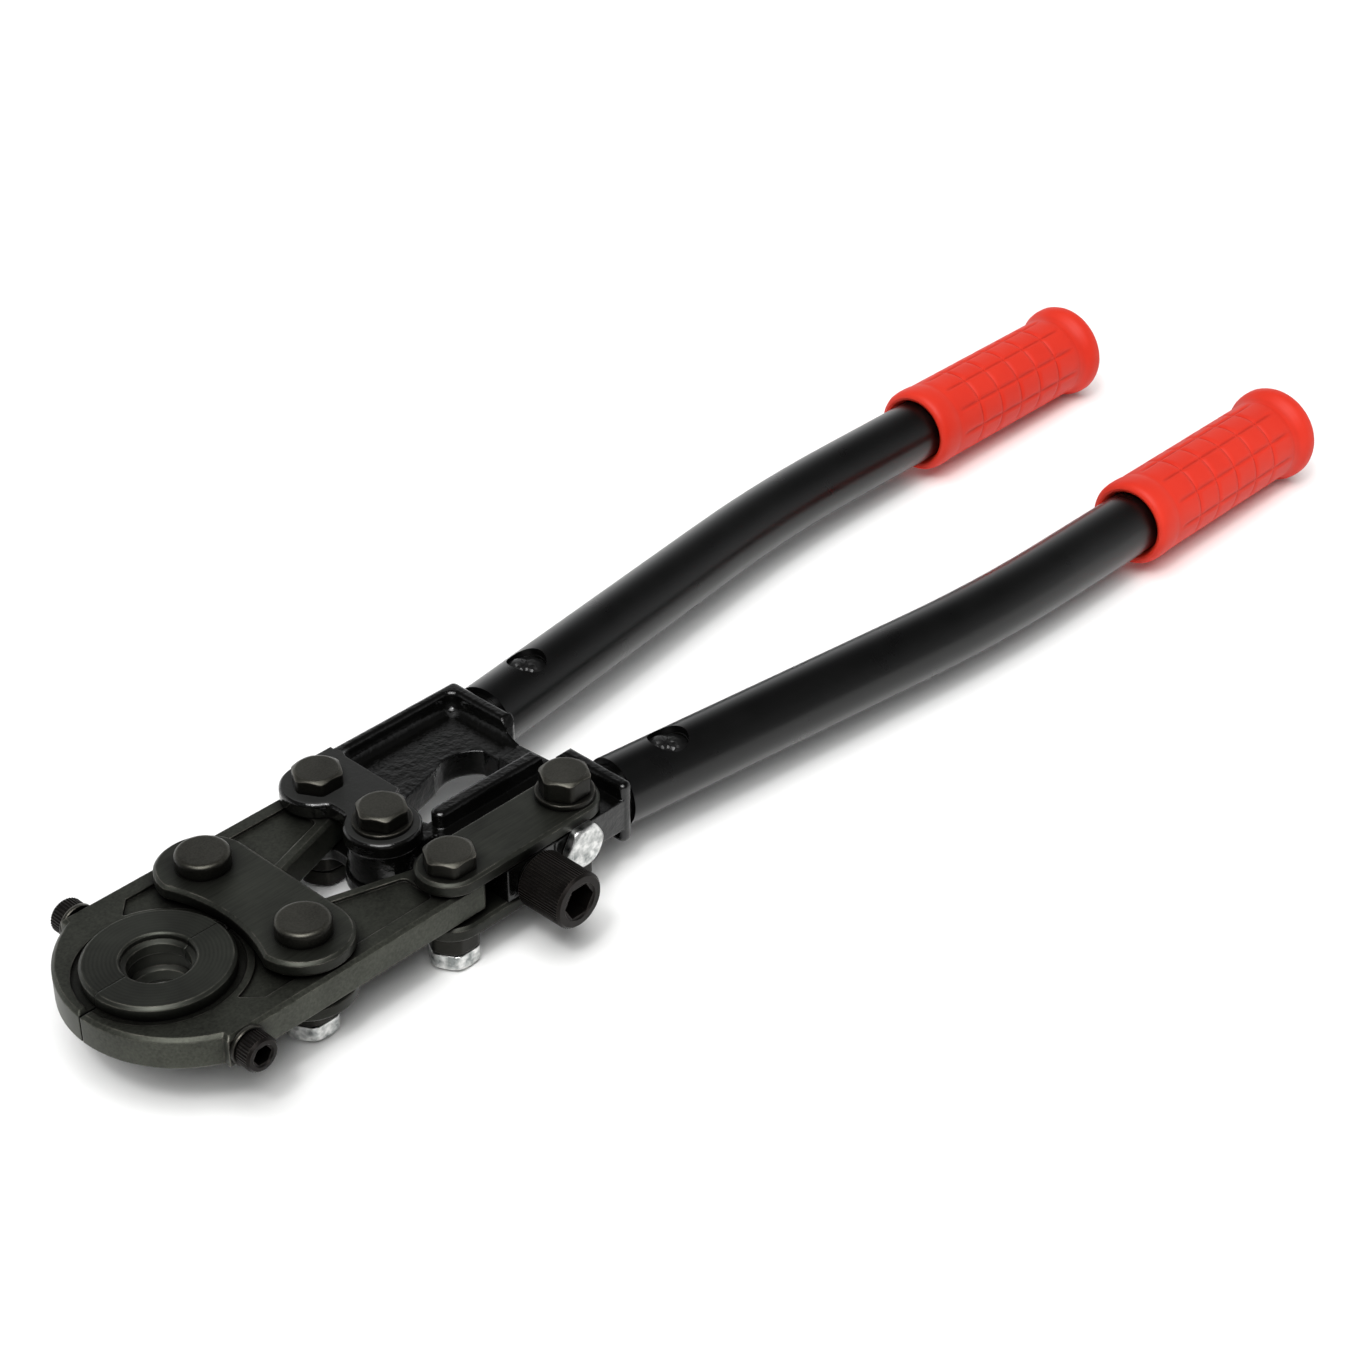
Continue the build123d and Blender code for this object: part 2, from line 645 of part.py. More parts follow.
# Left handle head: a tongue to the centre bolt, a web between the link plates, an inner rib and a stop lug
rib_rear_x = wall_front_x - RIB_END_GAP
lock_bolt_reach = web_outer_y - TAIL_Y - BOLT_RADIUS - RUNNING_CLEARANCE - LOCK_BOLT_WALL
left_spigot = spigot(-1)
left_wedges = wall_wedges(-1)

with BuildPart() as left_head:
    with BuildSketch(Plane.XY.offset(-jaw_half)):
        with BuildLine():
            Polyline(
                (tail_x, TONGUE_HALF),
                (fork_root_x, TONGUE_HALF / 2),
                (block_front_x, -RIB_INNER_Y),
                (stop_x, -RIB_INNER_Y),
                (stop_x, STOP_Y),
                (stop_rear_x, STOP_Y),
                (wall_front_x, -WALL_INNER_Y),
                (wall_middle_x, -WALL_INNER_Y - WALL_ROUND),
                (wall_middle_x, -web_outer_y),
                (block_rear_x + LAYER_GAP, -web_outer_y),
                (block_rear_x + LAYER_GAP, -block_inner_y),
                (block_front_x, -block_inner_y),
                (fork_root_x, -TONGUE_EYE_RADIUS),
                (tail_x, -TONGUE_HALF),
                close=True,
            )
        make_face()
        with Locations((tail_x, 0)):
            Circle(TONGUE_EYE_RADIUS)
            Circle(BOLT_RADIUS + TONGUE_PLAY, mode=Mode.SUBTRACT)
        with Locations((link_x, -TAIL_Y)):
            Circle(BOLT_RADIUS + RUNNING_CLEARANCE, mode=Mode.SUBTRACT)
    extrude(amount=JAW_THICKNESS)
    with BuildSketch(Plane.XY.offset(-plate_top)) as rib:
        with BuildLine():
            Polyline(
                (block_front_x, -RIB_INNER_Y),
                (rib_rear_x, -RIB_INNER_Y),
                (rib_rear_x, -rib_outer_y),
                (block_front_x, -rib_outer_y),
                close=True,
            )
        make_face()
        fillet(rib.vertices().group_by(Axis.X)[0], RIB_NOSE)
        with BuildLine():
            Polyline(
                (wall_front_x, -WALL_INNER_Y),
                (head_rear_x, -WALL_INNER_Y),
                (head_rear_x, -link_outer_y),
                (wall_front_x, -link_outer_y),
                close=True,
            )
        make_face()
        fillet(rib.vertices().group_by(Axis.Y)[0], WALL_ROUND)
    extrude(amount=2 * plate_top)
    add(left_wedges, mode=Mode.SUBTRACT)
    fillet(rim_edges(left_head), CAST_EDGE)
    add(left_spigot)
    with BuildSketch(facing_out(lock_bolt_x, web_outer_y, -1)):
        Circle(LOCK_BOLT_RADIUS + THREAD_CLEARANCE)
    extrude(amount=-lock_bolt_reach, mode=Mode.SUBTRACT)
save(left_head.part, "left_handle_head")

# Link plates from the left jaw's tail to the link bolt
for name, base in LAYERS:
    with BuildPart() as link_plate:
        with BuildSketch(Plane.XY.offset(base)):
            with Locations(((tail_x + link_x) / 2, -TAIL_Y)):
                SlotCenterToCenter(LINK_LENGTH, 2 * LINK_HALF_WIDTH)
        extrude(amount=PLATE_THICKNESS)
        bevel_plate(link_plate.part, PLATE_BEVEL)
        with BuildSketch(Plane.XY.offset(base)):
            with Locations((tail_x, -TAIL_Y), (link_x, -TAIL_Y)):
                Circle(BOLT_RADIUS + RUNNING_CLEARANCE)
        extrude(amount=PLATE_THICKNESS, mode=Mode.SUBTRACT)
    save(link_plate.part, f"{name}_link_plate")

# Bolts, washers and nuts of the handles
save(hex_bolt(tail_x, TAIL_Y, plate_top, BOLT_HEAD), "right_tail_bolt")
save(hex_bolt(tail_x, -TAIL_Y, plate_top, BOLT_HEAD), "left_tail_bolt")
save(hex_bolt(tail_x, 0, plate_top + CENTRE_WASHER, BOLT_HEAD), "centre_bolt")
save(hex_bolt(link_x, -TAIL_Y, plate_top + LINK_WASHER, LINK_BOLT_HEAD), "link_bolt")
save(washer(tail_x, 0, CENTRE_WASHER), "centre_washer")
save(washer(link_x, -TAIL_Y, LINK_WASHER), "link_washer")

link_places = [(tail_x, -TAIL_Y), (link_x, -TAIL_Y)]

for name, places in (("right", fork_places), ("left", link_places)):
    save(nut_group(places, -plate_top, NUT, NUT_FLATS, BOLT_RADIUS), f"{name}_nuts")
    save(nut_group(places, nut_low, LOCK_NUT, NUT_FLATS, BOLT_RADIUS), f"{name}_lock_nuts")

# Adjuster: a nut block between the link plates, a socket-headed screw through it, and a lock bolt
adjuster_head_y = web_outer_y + ADJUSTER_NECK

with BuildPart() as adjusting_block:
    with BuildSketch(facing_out(adjuster_x, block_inner_y, -1)):
        Rectangle(BLOCK_LENGTH, 2 * plate_low)
        Circle(ADJUSTER_RADIUS + RUNNING_CLEARANCE, mode=Mode.SUBTRACT)
    extrude(amount=BLOCK_DEPTH)
save(adjusting_block.part, "adjusting_block")

with BuildPart() as adjusting_screw:
    with BuildSketch(facing_out(adjuster_x, adjuster_head_y, -1)):
        Circle(ADJUSTER_HEAD_RADIUS)
    extrude(amount=ADJUSTER_HEAD)
    chamfer(adjusting_screw.edges().filter_by(GeomType.CIRCLE), PLATE_BEVEL)
    with BuildSketch(facing_out(adjuster_x, adjuster_head_y + ADJUSTER_HEAD, -1)):
        RegularPolygon(ADJUSTER_KEY / 2, 6, major_radius=False)
    extrude(amount=-ADJUSTER_KEY_DEPTH, mode=Mode.SUBTRACT)
    with BuildSketch(facing_out(adjuster_x, adjuster_head_y, -1)):
        Circle(ADJUSTER_NECK_RADIUS)
    extrude(amount=ADJUSTER_TIP_GAP - ADJUSTER_NECK)
    with BuildSketch(facing_out(adjuster_x, adjuster_head_y, -1)):
        Circle(ADJUSTER_RADIUS)
    extrude(amount=ADJUSTER_TIP_GAP - ADJUSTER_NECK - BLOCK_DEPTH)
save(adjusting_screw.part, "adjusting_screw")

lock_bolt_plane = facing_out(lock_bolt_x, link_outer_y, -1)
lock_bolt_head = lock_bolt_plane.location * hex_body(0, 0, 0, LOCK_BOLT_HEAD, LOCK_BOLT_FLATS)

with BuildPart() as lock_bolt:
    add(lock_bolt_head)
    with BuildSketch(lock_bolt_plane):
        Circle(LOCK_BOLT_RADIUS)
    extrude(amount=SCREW_CLEARANCE - LAYER_GAP - lock_bolt_reach)
save(lock_bolt.part, "lock_bolt")
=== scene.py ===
from math import atan2, cos, hypot, pi, radians, sin, sqrt, tau

import bmesh
import bpy
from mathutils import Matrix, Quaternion, Vector


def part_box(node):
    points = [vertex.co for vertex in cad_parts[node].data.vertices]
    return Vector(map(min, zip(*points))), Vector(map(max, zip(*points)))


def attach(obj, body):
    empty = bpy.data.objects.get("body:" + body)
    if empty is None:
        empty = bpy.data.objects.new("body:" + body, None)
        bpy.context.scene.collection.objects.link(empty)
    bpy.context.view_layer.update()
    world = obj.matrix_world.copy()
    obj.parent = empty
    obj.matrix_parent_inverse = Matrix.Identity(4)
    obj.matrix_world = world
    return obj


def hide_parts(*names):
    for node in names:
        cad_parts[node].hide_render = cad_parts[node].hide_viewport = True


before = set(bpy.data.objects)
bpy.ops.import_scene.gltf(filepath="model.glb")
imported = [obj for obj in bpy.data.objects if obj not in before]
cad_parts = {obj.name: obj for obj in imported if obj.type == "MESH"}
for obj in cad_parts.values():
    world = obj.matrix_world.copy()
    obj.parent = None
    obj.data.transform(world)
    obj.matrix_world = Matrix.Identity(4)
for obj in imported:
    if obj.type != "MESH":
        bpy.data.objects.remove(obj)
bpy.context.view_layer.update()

# Hand-operated press pliers for pipe sleeves, lying on a pale floor with the jaws closed.
# Sizes are in millimetres and are turned to metres by MM where they are used.
MM = 0.001

# Faces that meet at a smaller angle than this, in degrees, are shaded as one
SMOOTH_ANGLE = 32

# Moulded grips, measured along the grip from its mouth. Points further out than the skin are on its outside.
GRIP_SEGMENTS = 60
GRIP_RADIUS = 17.0
GRIP_BORE = 12.6
GRIP_CAP = 6.8
GRIP_SKIN = 16.0
PAD_START = 13.0
PAD_LENGTH = 13.0
PADS = 6
PAD_ROWS = 10

# Outline of a grip. Collar: distance from the mouth, radius. Waist: distance behind the pads, radius.
# Flange: distance behind the pads, step in from its full radius. End: the same, from the rear end.
GRIP_COLLAR = (
    (3.5, GRIP_BORE), (1.2, 13.3), (0.3, 14.0), (0.0, 14.9), (0.25, 15.8), (1.0, 16.6), (2.2, 17.1),
    (4.0, 17.3), (7.0, 17.3), (9.0, 17.2), (10.2, 16.95), (11.3, 16.8), (12.2, 16.88),
)
GRIP_WAIST = ((0.8, 16.85), (1.7, 16.7), (2.8, 16.85), (4.2, 17.1), (5.6, 17.8), (7.0, 18.7))
GRIP_FLANGE = ((8.2, 0.2), (9.5, 0.0))
GRIP_END = ((3.2, 0.0), (1.9, 0.5), (1.0, 1.5), (0.6, 3.0), (0.3, 7.0), (0.1, 11.0), (0.0, 15.0))

# Grooves between the pads. A pad is divided along its length at these shares of it.
# Each band of a groove is its distance from the groove's line, from and to, and its depth.
PAD_DIVISIONS = (0, 0.2, 0.5, 0.8)
GROOVE_HALF_WIDTH = 1.25
GROOVE_BANDS = ((-0.1, 0.15, 0.55), (0.15, 0.8, 0.3))
ON_LINE = 0.05

# How far past the pads' ends a point may lie: the rings at the ends counted in, left out, or held in place
ENDS_IN = 0.1
ENDS_OUT = -1.0
ENDS_HELD = -0.3

# Knurled socket screws
KNURL_PITCH = 1.05
KNURL_DEPTH = 0.28
KNURL_SKIN = 0.05
SHANK_CHAMFER = 0.6
HEAD_CHAMFER = 0.9
SOCKET_MARGIN = 0.5
SOCKET_SINK = 0.5
SOCKET_LIP = 0.12
DIE_SCREW_SHANK = 4.0
DIE_SCREW_HEAD = 6.2
DIE_SCREW_KEY = 6.0
DIE_SCREW_KEY_DEPTH = 5.2
ADJUSTER_SHANK = 5.0
ADJUSTER_NECK = 3.2
ADJUSTER_NECK_RADIUS = 6.0
ADJUSTER_HEAD = 18.5
ADJUSTER_KEY = 11.0
ADJUSTER_KEY_DEPTH = 11.0

# Plug welds in the tubes' cross holes. Points further out along the weld than its end's start are on an end.
# Each lump is its turn in degrees, distance from the middle, and lift, made in two steps with these reaches.
WELD_SEGMENTS = 40
WELD_STEP = 0.7
WELD_DOME = 1.6
WELD_END_START = 5.0
WELD_LUMPS = ((35, 3.4, 1.3), (140, 3.8, -1.3), (255, 4.2, 0.7))
WELD_REACHES = (3.4, 2.0)

# Machined faces of the right head's fork
CHEEK_HEIGHT = 11.6
CHEEK_END = 108.2

# Painted shade at the foot of each step and on upright faces: its colour, and how far from the foot of a step
# it reaches
PAINTED_SHADE_COLOUR = "#0d0c0a"
PAINTED_SHADE_REACH = 6.0

# How far from the line where jaws and dies meet their edges start to be rubbed, and are so in full
SPLIT_START = 1.2
SPLIT_FULL = 2.4

# Refractive index of paint and enamel
PAINT_IOR = 1.52

# Camera, fitted to the photograph's frame
IMAGE_SIDE = 1364
FOCAL_PIXELS = 2756
SENSOR_MM = 36.0
CAMERA_TARGET = (230.50, -3.07, 0.0)
CAMERA_AZIMUTH = -47.309
CAMERA_ELEVATION = 34.009
CAMERA_ROLL = 0.585
CAMERA_DISTANCE = 982.3

# Side of the floor and distance of the lights, in metres
FLOOR_SIDE = 120
LIGHT_DISTANCE = 3.0

# Brightness of the room: a white wall behind the tool and the dimmer rest, which fade from foot to top.
# The wall's edge and middle say how squarely a direction faces it, and a fade how high up the top is reached.
WALL_AZIMUTH = 133
WALL_EDGE = -0.45
WALL_MIDDLE = 0.6
WALL_FOOT = 1.6
WALL_FADE = 0.7
ROOM_FOOT = 0.16
ROOM_FADE = 0.8
ROOM_TOP = 0.05


def linear(code):
    """Linear colour of an sRGB hex code."""
    parts = [int(code[i:i + 2], 16) / 255 for i in (1, 3, 5)]
    return [p / 12.92 if p <= 0.04045 else ((p + 0.055) / 1.055) ** 2.4 for p in parts] + [1.0]


def node(tree, kind, inputs=None, **settings):
    """Add a node with its settings, and set each named input or link it to a socket."""
    made = tree.nodes.new(kind)
    for name, value in settings.items():
        setattr(made, name, value)
    for name, value in (inputs or {}).items():
        if isinstance(value, bpy.types.NodeSocket):
            tree.links.new(value, made.inputs[name])
        else:
            made.inputs[name].default_value = value
    return made


def per_metre(size):
    """Texture scale of a pattern whose features are this many millimetres across."""
    return 1 / (size * MM)


def noise_of(place, size):
    """Inputs of an even noise with features of a size in millimetres."""
    return {"Vector": place, "Scale": per_metre(size), "Detail": 3.0}


def new_tree(name):
    """A new material, its empty node tree and its object coordinates."""
    made = bpy.data.materials.new(name)
    made.use_nodes = True
    made.node_tree.nodes.clear()
    place = node(made.node_tree, "ShaderNodeTexCoord").outputs["Object"]
    return made, made.node_tree, place


def close_tree(tree, inputs):
    """Put a surface shader with these inputs at the end of a tree."""
    surface = node(tree, "ShaderNodeBsdfPrincipled", inputs)
    node(tree, "ShaderNodeOutputMaterial", {"Surface": surface.outputs["BSDF"]})


def edges_of(tree, place, radius, split):
    """Normals rounded at the edges, and a mask that is 1 along them.
    A split line on the middle plane gets no mask."""
    rounded = node(tree, "ShaderNodeBevel", {"Radius": radius * MM}, samples=6).outputs["Normal"]
    flat = node(tree, "ShaderNodeNewGeometry").outputs["Normal"]
    normals = {0: rounded, 1: flat}
    facing = node(tree, "ShaderNodeVectorMath", normals, operation="DOT_PRODUCT").outputs["Value"]
    ranges = {"Value": facing, "From Min": 0.985, "From Max": 0.86}
    edge = node(tree, "ShaderNodeMapRange", ranges).outputs["Result"]
    if split:
        across = node(tree, "ShaderNodeSeparateXYZ", {"Vector": place}).outputs["Y"]
        away = node(tree, "ShaderNodeMath", {0: across}, operation="ABSOLUTE").outputs["Value"]
        ranges = {"Value": away, "From Min": SPLIT_START * MM, "From Max": SPLIT_FULL * MM}
        clear = node(tree, "ShaderNodeMapRange", ranges).outputs["Result"]
        edge = node(tree, "ShaderNodeMath", {0: edge, 1: clear}, operation="MULTIPLY").outputs["Value"]
    return rounded, edge


def oxide_steel(name, dark, pale, worn, fine_pattern, mottle, roughness, relief, edge_radius,
                split=False, upright=0.0):
    """Blackened steel: a cloudy dark skin with a fine pattern in its colour, gloss and relief.
    Its edges are rubbed paler. Painted shade darkens the foot of each step and, by the share upright,
    its upright faces."""
    made, tree, place = new_tree(name)
    rounded, edge = edges_of(tree, place, edge_radius, split)
    cloud = node(tree, "ShaderNodeTexNoise", noise_of(place, size=20)).outputs["Fac"]
    rub = node(tree, "ShaderNodeTexNoise", noise_of(place, size=5)).outputs["Fac"]
    fine = fine_pattern(tree, place)
    patches = {"Value": rub, "From Min": 0.36, "From Max": 0.62}
    patchy = node(tree, "ShaderNodeMapRange", patches).outputs["Result"]
    rubbed = node(tree, "ShaderNodeMath", {0: edge, 1: patchy}, operation="MULTIPLY").outputs["Value"]
    blend = {0: fine, 1: mottle, 2: cloud}
    shade = node(tree, "ShaderNodeMath", blend, operation="MULTIPLY_ADD").outputs["Value"]
    ranges = {"Value": shade, "From Min": 0.3 * (1 + mottle), "From Max": 0.7 * (1 + mottle)}
    share = node(tree, "ShaderNodeMapRange", ranges).outputs["Result"]
    tones = {0: share, 6: linear(dark), 7: linear(pale)}
    skin = node(tree, "ShaderNodeMix", tones, data_type="RGBA").outputs[2]
    tones = {0: rubbed, 6: skin, 7: linear(worn)}
    unshaded = node(tree, "ShaderNodeMix", tones, data_type="RGBA").outputs[2]
    # painted shade: ambient occlusion mixes a dark colour in at the foot of each step and in narrow gaps
    reach = {"Distance": PAINTED_SHADE_REACH * MM}
    sky = node(tree, "ShaderNodeAmbientOcclusion", reach, samples=6).outputs["AO"]
    ranges = {"Value": sky, "From Min": 0.95, "From Max": 0.5}
    foot = node(tree, "ShaderNodeMapRange", ranges).outputs["Result"]
    # painted shade on upright faces: the more upright a face, the darker it is made, up to the share upright
    facing = node(tree, "ShaderNodeNewGeometry").outputs["Normal"]
    lean = node(tree, "ShaderNodeSeparateXYZ", {"Vector": facing}).outputs["Z"]
    level = node(tree, "ShaderNodeMath", {0: lean}, operation="ABSOLUTE").outputs["Value"]
    ranges = {"Value": level, "From Min": 0.85, "From Max": 0.4, "To Max": upright}
    side = node(tree, "ShaderNodeMapRange", ranges).outputs["Result"]
    painted_shade = node(tree, "ShaderNodeMath", {0: foot, 1: side}, operation="MAXIMUM").outputs["Value"]
    tones = {0: painted_shade, 6: unshaded, 7: linear(PAINTED_SHADE_COLOUR)}
    colour = node(tree, "ShaderNodeMix", tones, data_type="RGBA").outputs[2]
    low, high = roughness
    gloss = {"Value": fine, "To Min": low, "To Max": high}
    bump = {"Height": fine, "Normal": rounded, "Strength": relief, "Distance": 0.06 * MM}
    close_tree(tree, {
        "Base Color": colour, "Metallic": 0.85,
        "Roughness": node(tree, "ShaderNodeMapRange", gloss).outputs["Result"],
        "Normal": node(tree, "ShaderNodeBump", bump).outputs["Normal"],
    })
    return made


def forged_grain(tree, place):
    """Shot-blasted forging skin."""
    return node(tree, "ShaderNodeTexNoise", noise_of(place, size=0.9)).outputs["Fac"]


def bolt_grain(tree, place):
    """Smooth cold-headed steel with a slight orange peel."""
    return node(tree, "ShaderNodeTexNoise", noise_of(place, size=0.6)).outputs["Fac"]


def lathe_rings(tree, place):
    """Rings left by the lathe tool, really about 0.15 mm apart, drawn at 1.3 mm so that they show."""
    rings = {"Vector": place, "Scale": per_metre(1.3) * tau / 20, "Distortion": 0.6, "Detail": 1.0}
    return node(tree, "ShaderNodeTexWave", rings, wave_type="RINGS", rings_direction="Z").outputs["Fac"]


def grinding_marks(tree, place):
    """Fine straight marks along the plate, really about 0.1 mm wide, drawn at 0.7 mm so that they show."""
    stretch = {"Vector": place, "Scale": (0.06, 1.0, 1.0)}
    along = node(tree, "ShaderNodeMapping", stretch).outputs["Vector"]
    return node(tree, "ShaderNodeTexNoise", noise_of(along, size=0.7)).outputs["Fac"]


def cast_black_paint(name, cheek_end):
    """Iron casting under thick gloss paint: near black, with wet highlights on a lumpy, sandy skin.
    Ahead of cheek_end its outer faces are machined and only blackened, a dull olive-grey."""
    made, tree, place = new_tree(name)
    rounded = edges_of(tree, place, 1.0, False)[0]
    lumps = node(tree, "ShaderNodeTexNoise", noise_of(place, size=3.4)).outputs["Fac"]
    sand = node(tree, "ShaderNodeTexNoise", noise_of(place, size=1.3)).outputs["Fac"]
    dust = node(tree, "ShaderNodeTexNoise", noise_of(place, size=12)).outputs["Fac"]
    coats = {0: dust, 6: linear("#030303"), 7: linear("#090908")}
    paint = node(tree, "ShaderNodeMix", coats, data_type="RGBA").outputs[2]
    parts = node(tree, "ShaderNodeSeparateXYZ", {"Vector": place}).outputs
    height = node(tree, "ShaderNodeMath", {0: parts["Z"]}, operation="ABSOLUTE").outputs["Value"]
    limit = {0: height, 1: CHEEK_HEIGHT * MM}
    outer = node(tree, "ShaderNodeMath", limit, operation="GREATER_THAN").outputs["Value"]
    limit = {0: parts["X"], 1: cheek_end * MM}
    ahead = node(tree, "ShaderNodeMath", limit, operation="LESS_THAN").outputs["Value"]
    machined = node(tree, "ShaderNodeMath", {0: outer, 1: ahead}, operation="MULTIPLY").outputs["Value"]
    faces = {0: machined, 6: paint, 7: linear("#0e0f0d")}
    colour = node(tree, "ShaderNodeMix", faces, data_type="RGBA").outputs[2]
    gloss = {"Value": dust, "To Min": 0.09, "To Max": 0.2}
    wet = node(tree, "ShaderNodeMapRange", gloss).outputs["Result"]
    dull = {"Value": machined, "To Min": wet, "To Max": 0.7}
    bump = {"Height": sand, "Normal": rounded, "Strength": 0.7, "Distance": 0.12 * MM}
    grainy = node(tree, "ShaderNodeBump", bump).outputs["Normal"]
    bump = {"Height": lumps, "Normal": grainy, "Strength": 0.9, "Distance": 0.3 * MM}
    close_tree(tree, {
        "Base Color": colour, "IOR": PAINT_IOR,
        "Roughness": node(tree, "ShaderNodeMapRange", dull).outputs["Result"],
        "Normal": node(tree, "ShaderNodeBump", bump).outputs["Normal"],
    })
    return made


def tube_black_enamel():
    """Drawn steel tube under stoved enamel: smooth gloss black with faint lines along the draw."""
    made, tree, place = new_tree("gloss_black_enamel_on_tube")
    stretch = {"Vector": place, "Scale": (0.05, 1.0, 1.0)}
    along = node(tree, "ShaderNodeMapping", stretch).outputs["Vector"]
    lines = node(tree, "ShaderNodeTexNoise", noise_of(along, size=1.6)).outputs["Fac"]
    dust = node(tree, "ShaderNodeTexNoise", noise_of(place, size=15)).outputs["Fac"]
    coats = {0: dust, 6: linear("#020202"), 7: linear("#050505")}
    gloss = {"Value": dust, "To Min": 0.24, "To Max": 0.34}
    bump = {"Height": lines, "Strength": 0.15, "Distance": 0.05 * MM}
    close_tree(tree, {
        "Base Color": node(tree, "ShaderNodeMix", coats, data_type="RGBA").outputs[2],
        "IOR": PAINT_IOR, "Specular IOR Level": 0.4,
        "Roughness": node(tree, "ShaderNodeMapRange", gloss).outputs["Result"],
        "Normal": node(tree, "ShaderNodeBump", bump).outputs["Normal"],
    })
    return made


def weld_steel():
    """Plug weld under paint: lumpy, black and half glossy."""
    made, tree, place = new_tree("painted_plug_weld")
    lumps = node(tree, "ShaderNodeTexNoise", noise_of(place, size=1.8)).outputs["Fac"]
    coats = {0: lumps, 6: linear("#040404"), 7: linear("#101010")}
    gloss = {"Value": lumps, "To Min": 0.3, "To Max": 0.5}
    bump = {"Height": lumps, "Strength": 0.25, "Distance": 0.2 * MM}
    close_tree(tree, {
        "Base Color": node(tree, "ShaderNodeMix", coats, data_type="RGBA").outputs[2], "IOR": PAINT_IOR,
        "Roughness": node(tree, "ShaderNodeMapRange", gloss).outputs["Result"],
        "Normal": node(tree, "ShaderNodeBump", bump).outputs["Normal"],
    })
    return made


def bright_zinc():
    """Bright zinc plate on small hardware: silvery, mottled by handling, pale along its edges."""
    made, tree, place = new_tree("bright_zinc_plate")
    rounded, edge = edges_of(tree, place, 0.8, False)
    cloud = node(tree, "ShaderNodeTexNoise", noise_of(place, size=3)).outputs["Fac"]
    cells = {"Vector": place, "Scale": per_metre(1.8)}
    spangle = node(tree, "ShaderNodeTexVoronoi", cells).outputs["Distance"]
    ranges = {"Value": cloud, "From Min": 0.35, "From Max": 0.65}
    stretched = node(tree, "ShaderNodeMapRange", ranges).outputs["Result"]
    tones = {0: stretched, 6: linear("#8b8f8e"), 7: linear("#e9e9e7")}
    plate = node(tree, "ShaderNodeMix", tones, data_type="RGBA").outputs[2]
    tones = {0: edge, 6: plate, 7: linear("#f4f4f2")}
    gloss = {"Value": cloud, "To Min": 0.2, "To Max": 0.42}
    bump = {"Height": spangle, "Normal": rounded, "Strength": 0.4, "Distance": 0.15 * MM}
    close_tree(tree, {
        "Base Color": node(tree, "ShaderNodeMix", tones, data_type="RGBA").outputs[2], "Metallic": 1.0,
        "Roughness": node(tree, "ShaderNodeMapRange", gloss).outputs["Result"],
        "Normal": node(tree, "ShaderNodeBump", bump).outputs["Normal"],
    })
    return made


def moulded_red():
    """Injection-moulded soft PVC: bright orange-red and satin, with a fine spark-eroded grain,
    and painted shade darkening its grooves."""
    made, tree, place = new_tree("moulded_red_pvc")
    fine = node(tree, "ShaderNodeTexNoise", noise_of(place, size=0.8)).outputs["Fac"]
    cloud = node(tree, "ShaderNodeTexNoise", noise_of(place, size=16)).outputs["Fac"]
    tones = {0: cloud, 6: linear("#d02a17"), 7: linear("#db321d")}
    skin = node(tree, "ShaderNodeMix", tones, data_type="RGBA").outputs[2]
    # painted shade: concave places in the grooves get a darker red
    bend = node(tree, "ShaderNodeNewGeometry").outputs["Pointiness"]
    ranges = {"Value": bend, "From Min": 0.5, "From Max": 0.44}
    painted_groove_shade = node(tree, "ShaderNodeMapRange", ranges).outputs["Result"]
    tones = {0: painted_groove_shade, 6: skin, 7: linear("#a81d0e")}
    gloss = {"Value": cloud, "To Min": 0.5, "To Max": 0.6}
    bump = {"Height": fine, "Strength": 0.2, "Distance": 0.05 * MM}
    close_tree(tree, {
        "Base Color": node(tree, "ShaderNodeMix", tones, data_type="RGBA").outputs[2],
        "IOR": 1.5, "Specular IOR Level": 0.3,
        "Roughness": node(tree, "ShaderNodeMapRange", gloss).outputs["Result"],
        "Normal": node(tree, "ShaderNodeBump", bump).outputs["Normal"],
    })
    return made


def deselect_all():
    """Leave nothing selected and nothing active."""
    bpy.ops.object.select_all(action="DESELECT")
    bpy.context.view_layer.objects.active = None


def turned_body(name, stations, segments):
    """A body turned about +X, left in edit mode: a ring extruded from station to station,
    each a (distance, radius), with both ends closed."""
    deselect_all()
    first, radius = stations[0]
    bpy.ops.mesh.primitive_circle_add(
        vertices=segments, radius=radius * MM, location=(first * MM, 0, 0), rotation=(0, pi / 2, 0)
    )
    body = bpy.context.object
    body.name = name
    bpy.ops.object.transform_apply(location=True, rotation=True, scale=True)
    bpy.ops.object.mode_set(mode="EDIT")
    bpy.ops.mesh.select_all(action="SELECT")
    for (x0, r0), (x1, r1) in zip(stations, stations[1:]):
        bpy.ops.mesh.extrude_region_move(TRANSFORM_OT_translate={"value": ((x1 - x0) * MM, 0, 0)})
        bpy.ops.transform.resize(value=(1, r1 / r0, r1 / r0), center_override=(x1 * MM, 0, 0))
    bpy.ops.mesh.select_all(action="SELECT")
    bpy.ops.mesh.fill_holes(sides=0)
    bpy.ops.mesh.normals_make_consistent(inside=False)
    return body


def select_points(body, wanted):
    """In edit mode, select the points that a test on their place takes."""
    mesh = bmesh.from_edit_mesh(body.data)
    for vert in mesh.verts:
        vert.select_set(False)
    for vert in mesh.verts:
        if wanted(vert.co):
            vert.select_set(True)
    mesh.select_flush_mode()
    bmesh.update_edit_mesh(body.data)


def sink_points(depth, radius):
    """Move the selected points of a turned body towards its axis, by a depth at this radius."""
    share = 1 - depth / radius
    bpy.ops.transform.resize(value=(1, share, share), center_override=(0, 0, 0))


def turn_of(point, step):
    """Angle of a point about the X axis in steps, as (nearest whole step, distance from it in radians)."""
    angle = atan2(point.z, point.y) % tau
    whole = round(angle / step)
    return whole, abs(angle - whole * step)


